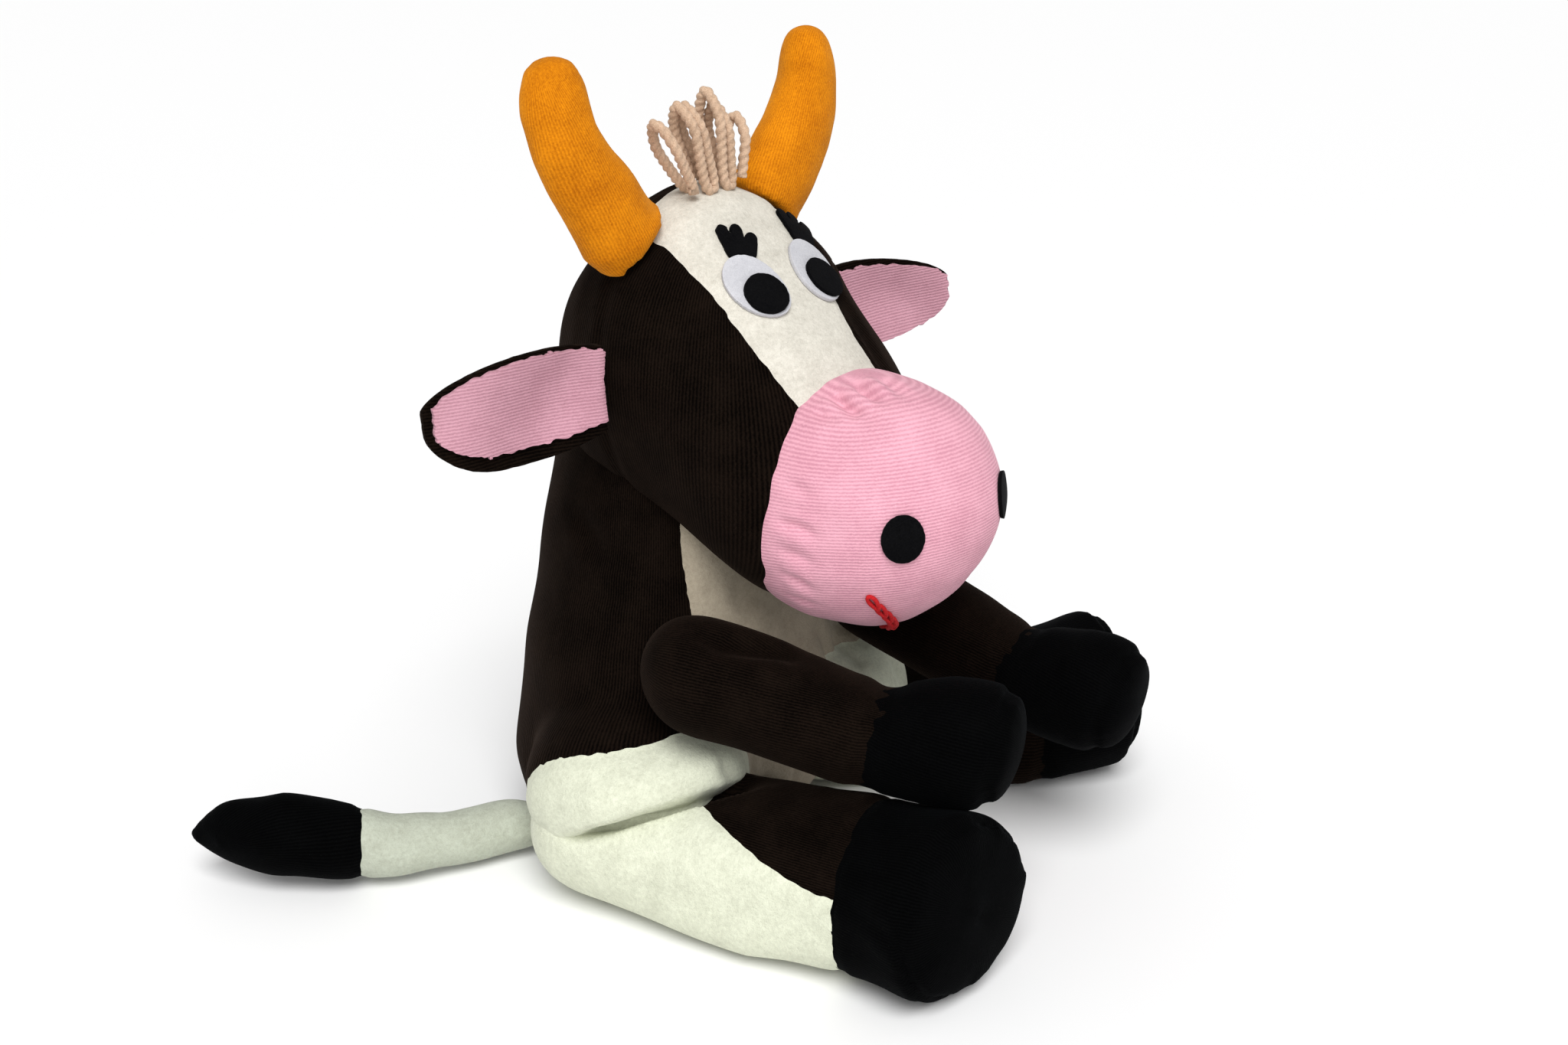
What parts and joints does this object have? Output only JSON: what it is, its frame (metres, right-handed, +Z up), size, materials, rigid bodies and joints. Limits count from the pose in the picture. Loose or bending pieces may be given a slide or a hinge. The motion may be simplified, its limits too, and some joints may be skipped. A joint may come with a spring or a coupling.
{
  "type": "cow hand puppet",
  "caption": "Soft cow hand puppet: stuffed head with horns, ears and yarn tuft, stuffed arms, legs and tail, sewn on a hollow cloth body with an open base and a finger tube.",
  "frame": {"origin": "middle of the bounding box, on the floor the sitting puppet rests on", "axes": "+Z up, the cow faces -Y, its right side is -X"},
  "size_m": [0.3244, 0.2619, 0.2945],
  "materials": {
    "brown_velour": "short brushed pile",
    "black_velour": "short brushed pile",
    "cream_fleece": "soft brushed fleece",
    "pink_velour": "fine ribbed velour",
    "orange_velour": "fine ribbed velour",
    "white_felt": "felt",
    "black_felt": "felt",
    "red_thread": "thick thread",
    "yarn": "twisted wool yarn",
    "filling": "loose fibre filling",
    "inner_cloth": "plain woven lining"
  },
  "bodies": {
    "torso": {"belly_panel": "cream_fleece", "body_side_left": "brown_velour", "body_side_right": "brown_velour", "hip_patch_left": "cream_fleece", "hip_patch_right": "cream_fleece", "neck_sleeve": "brown_velour", "opening_hem": "brown_velour", "throat_panel": "cream_fleece"},
    "head": {"blaze_panel": "cream_fleece", "eye_lash_left": "black_felt", "eye_lash_right": "black_felt", "eye_pupil_left": "black_felt", "eye_pupil_right": "black_felt", "eye_white_left": "white_felt", "eye_white_right": "white_felt", "finger_tube": "inner_cloth", "hair_tuft": "yarn", "head_back_panel": "brown_velour", "head_side_left": "brown_velour", "head_side_right": "brown_velour", "head_stuffing": "filling", "horn_cover_left": "orange_velour", "horn_cover_right": "orange_velour", "horn_stuffing_left": "filling", "horn_stuffing_right": "filling", "mouth_stitch": "red_thread", "muzzle_cover": "pink_velour", "muzzle_stuffing": "filling", "nostril_left": "black_felt", "nostril_right": "black_felt"},
    "ear_right": {"ear_back_right": "brown_velour", "ear_lining_right": "pink_velour"},
    "ear_left": {"ear_back_left": "brown_velour", "ear_lining_left": "pink_velour"},
    "arm_right": {"arm_hoof_right": "black_velour", "arm_sleeve_right": "brown_velour", "arm_sole_right": "black_velour", "arm_stuffing_right": "filling"},
    "arm_left": {"arm_hoof_left": "black_velour", "arm_sleeve_left": "brown_velour", "arm_sole_left": "black_velour", "arm_stuffing_left": "filling"},
    "leg_right": {"leg_cover_right": "brown_velour", "leg_hoof_right": "black_velour", "leg_patch_right": "cream_fleece", "leg_sole_right": "black_velour", "leg_stuffing_right": "filling"},
    "leg_left": {"leg_cover_left": "brown_velour", "leg_hoof_left": "black_velour", "leg_patch_left": "cream_fleece", "leg_sole_left": "black_velour", "leg_stuffing_left": "filling"},
    "tail": {"tail_cover": "cream_fleece", "tail_stuffing": "filling", "tail_tip": "black_velour"}
  },
  "joints": [
    {"name": "head_nod", "type": "hinge", "parent": "torso", "child": "head", "pos_m": [-0.0011, 0.0439, 0.132], "axis": [1, 0, 0], "range_deg": [-12, 4], "deforming": ["neck_sleeve", "throat_panel"]},
    {"name": "arm_right_swing", "type": "hinge", "parent": "torso", "child": "arm_right", "pos_m": [-0.05224, -0.02175, 0.093], "axis": [-0.5, 0, -0.866], "range_deg": [0, 60]},
    {"name": "arm_left_swing", "type": "hinge", "parent": "torso", "child": "arm_left", "pos_m": [0.05004, -0.02175, 0.093], "axis": [-0.5, 0, 0.866], "range_deg": [0, 60]},
    {"name": "leg_right_splay", "type": "hinge", "parent": "torso", "child": "leg_right", "pos_m": [-0.0571, 0.0149, 0.0305], "axis": [0, 0, -1], "range_deg": [0, 50]},
    {"name": "leg_left_splay", "type": "hinge", "parent": "torso", "child": "leg_left", "pos_m": [0.0549, 0.0149, 0.0305], "axis": [0, 0, 1], "range_deg": [-18, 12]},
    {"name": "tail_swing", "type": "hinge", "parent": "torso", "child": "tail", "pos_m": [-0.06922, 0.06649, 0.015], "axis": [0, 0, 1], "range_deg": [-60, 15]},
    {"name": "ear_right_flap", "type": "hinge", "parent": "head", "child": "ear_right", "pos_m": [-0.05384, 0.02014, 0.18394], "axis": [-0.07, 0.0225, 0.9973], "range_deg": [-25, 25]},
    {"name": "ear_left_flap", "type": "hinge", "parent": "head", "child": "ear_left", "pos_m": [0.0519, 0.02136, 0.18616], "axis": [-0.122, 0.066, 0.9903], "range_deg": [-25, 25]}
  ]
}
